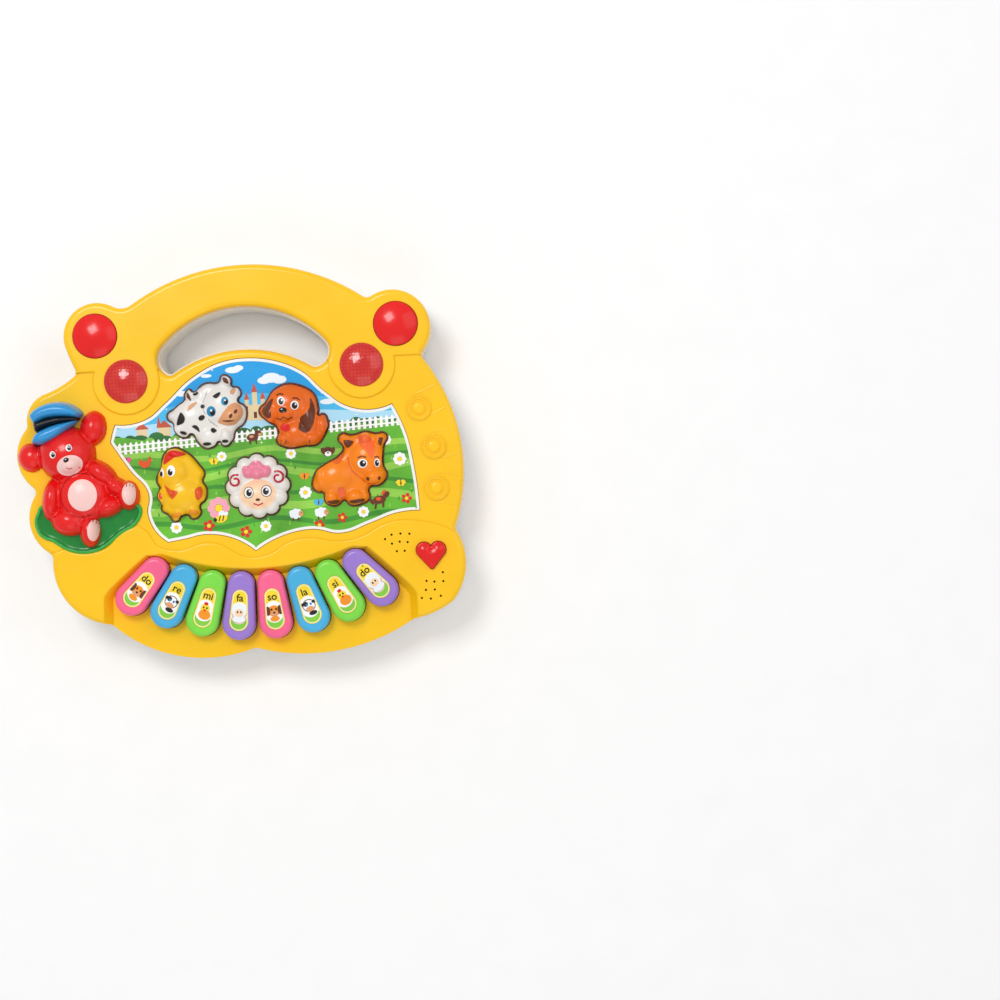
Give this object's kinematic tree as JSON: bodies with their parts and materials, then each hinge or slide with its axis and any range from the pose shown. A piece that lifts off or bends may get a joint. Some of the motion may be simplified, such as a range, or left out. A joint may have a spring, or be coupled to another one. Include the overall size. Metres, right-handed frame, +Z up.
{
  "type": "toy electronic keyboard",
  "caption": "Child's toy keyboard with a carrying handle, coloured plunger keys, raised animal buttons, domed lamps and a moulded bear.",
  "frame": {"origin": "on the surface the toy lies on, under the middle of its outline", "axes": "+X to the player's right, +Y towards the carrying handle, +Z up out of the face with the keys"},
  "size_m": [0.1997, 0.1758, 0.041],
  "materials": {
    "yellow_shell": "glossy moulded ABS",
    "white_shell": "satin moulded ABS",
    "printed_scene": "printed glossy sheet",
    "animal_white": "painted glossy plastic",
    "animal_orange": "painted glossy plastic",
    "animal_yellow": "painted glossy plastic",
    "key_pink": "glossy moulded plastic",
    "key_blue": "glossy moulded plastic",
    "key_green": "glossy moulded plastic",
    "key_purple": "glossy moulded plastic",
    "key_label": "printed glossy label",
    "red_plastic": "glossy moulded plastic",
    "lamp_lens": "translucent glossy plastic",
    "cap_blue": "painted glossy plastic",
    "leaf_green": "painted glossy plastic",
    "circuit_board": "solder-masked laminate",
    "black_resin": "cured resin",
    "dome_rubber": "silicone rubber",
    "led_body": "clear tinted epoxy",
    "speaker_black": "pressed frame and cone",
    "switch_black": "satin plastic",
    "cell_jacket": "printed steel jacket",
    "contact_metal": "nickel-plated spring steel",
    "screw_steel": "zinc-plated steel"
  },
  "bodies": {
    "base": {"top_shell": "yellow_shell", "bottom_shell": "white_shell", "scene_panel": "printed_scene", "lamp_lens_left": "lamp_lens", "lamp_lens_right": "lamp_lens", "bear_body": "red_plastic", "bear_cap": "cap_blue", "bear_leaf": "leaf_green", "key_board": "circuit_board", "panel_board": "circuit_board", "lamp_board_left": "circuit_board", "lamp_board_right": "circuit_board", "sound_chip": "black_resin", "key_domes": "dome_rubber", "heart_dome": "dome_rubber", "animal_domes": "dome_rubber", "mode_domes": "dome_rubber", "leds": "led_body", "speaker": "speaker_black", "switch_body": "contact_metal", "battery_cells": "cell_jacket", "battery_contacts": "contact_metal", "battery_springs": "contact_metal", "battery_door": "white_shell", "shell_screws": "screw_steel", "board_screws": "screw_steel", "door_screw": "screw_steel"},
    "cow_button": {"cow_button": "animal_white"},
    "dog_button": {"dog_button": "animal_orange"},
    "chick_button": {"chick_button": "animal_yellow"},
    "sheep_button": {"sheep_button": "animal_white"},
    "horse_button": {"horse_button": "animal_orange"},
    "key_do_low": {"key_do_low": "key_pink", "label_do_low": "key_label"},
    "key_re": {"key_re": "key_blue", "label_re": "key_label"},
    "key_mi": {"key_mi": "key_green", "label_mi": "key_label"},
    "key_fa": {"key_fa": "key_purple", "label_fa": "key_label"},
    "key_so": {"key_so": "key_pink", "label_so": "key_label"},
    "key_la": {"key_la": "key_blue", "label_la": "key_label"},
    "key_si": {"key_si": "key_green", "label_si": "key_label"},
    "key_do_high": {"key_do_high": "key_purple", "label_do_high": "key_label"},
    "mode_button_left": {"mode_button_left": "red_plastic"},
    "mode_button_right": {"mode_button_right": "red_plastic"},
    "heart_button": {"heart_button": "red_plastic"},
    "switch_knob": {"switch_knob": "switch_black"}
  },
  "joints": [
    {"name": "cow_button_press", "type": "slide", "parent": "base", "child": "cow_button", "axis": [0, 0, -1], "range_m": [0, 0.0012], "stiffness_N_per_m": 250, "springref_m": -0.0006, "deforming": ["animal_domes"]},
    {"name": "dog_button_press", "type": "slide", "parent": "base", "child": "dog_button", "axis": [0, 0, -1], "range_m": [0, 0.0012], "stiffness_N_per_m": 250, "springref_m": -0.0006, "deforming": ["animal_domes"]},
    {"name": "chick_button_press", "type": "slide", "parent": "base", "child": "chick_button", "axis": [0, 0, -1], "range_m": [0, 0.0012], "stiffness_N_per_m": 250, "springref_m": -0.0006, "deforming": ["animal_domes"]},
    {"name": "sheep_button_press", "type": "slide", "parent": "base", "child": "sheep_button", "axis": [0, 0, -1], "range_m": [0, 0.0012], "stiffness_N_per_m": 250, "springref_m": -0.0006, "deforming": ["animal_domes"]},
    {"name": "horse_button_press", "type": "slide", "parent": "base", "child": "horse_button", "axis": [0, 0, -1], "range_m": [0, 0.0012], "stiffness_N_per_m": 250, "springref_m": -0.0006, "deforming": ["animal_domes"]},
    {"name": "key_do_low_press", "type": "slide", "parent": "base", "child": "key_do_low", "axis": [0, 0, -1], "range_m": [0, 0.002], "stiffness_N_per_m": 250, "springref_m": -0.0006, "deforming": ["key_domes"]},
    {"name": "key_re_press", "type": "slide", "parent": "base", "child": "key_re", "axis": [0, 0, -1], "range_m": [0, 0.002], "stiffness_N_per_m": 250, "springref_m": -0.0006, "deforming": ["key_domes"]},
    {"name": "key_mi_press", "type": "slide", "parent": "base", "child": "key_mi", "axis": [0, 0, -1], "range_m": [0, 0.002], "stiffness_N_per_m": 250, "springref_m": -0.0006, "deforming": ["key_domes"]},
    {"name": "key_fa_press", "type": "slide", "parent": "base", "child": "key_fa", "axis": [0, 0, -1], "range_m": [0, 0.002], "stiffness_N_per_m": 250, "springref_m": -0.0006, "deforming": ["key_domes"]},
    {"name": "key_so_press", "type": "slide", "parent": "base", "child": "key_so", "axis": [0, 0, -1], "range_m": [0, 0.002], "stiffness_N_per_m": 250, "springref_m": -0.0006, "deforming": ["key_domes"]},
    {"name": "key_la_press", "type": "slide", "parent": "base", "child": "key_la", "axis": [0, 0, -1], "range_m": [0, 0.002], "stiffness_N_per_m": 250, "springref_m": -0.0006, "deforming": ["key_domes"]},
    {"name": "key_si_press", "type": "slide", "parent": "base", "child": "key_si", "axis": [0, 0, -1], "range_m": [0, 0.002], "stiffness_N_per_m": 250, "springref_m": -0.0006, "deforming": ["key_domes"]},
    {"name": "key_do_high_press", "type": "slide", "parent": "base", "child": "key_do_high", "axis": [0, 0, -1], "range_m": [0, 0.002], "stiffness_N_per_m": 250, "springref_m": -0.0006, "deforming": ["key_domes"]},
    {"name": "mode_button_left_press", "type": "slide", "parent": "base", "child": "mode_button_left", "axis": [0, 0, -1], "range_m": [0, 0.0015], "stiffness_N_per_m": 250, "springref_m": -0.0006, "deforming": ["mode_domes"]},
    {"name": "mode_button_right_press", "type": "slide", "parent": "base", "child": "mode_button_right", "axis": [0, 0, -1], "range_m": [0, 0.0015], "stiffness_N_per_m": 250, "springref_m": -0.0006, "deforming": ["mode_domes"]},
    {"name": "heart_button_press", "type": "slide", "parent": "base", "child": "heart_button", "axis": [0, 0, -1], "range_m": [0, 0.0015], "stiffness_N_per_m": 250, "springref_m": -0.0006, "deforming": ["heart_dome"]},
    {"name": "switch_slide", "type": "slide", "parent": "base", "child": "switch_knob", "axis": [1, 0, 0], "range_m": [0, 0.004]}
  ]
}
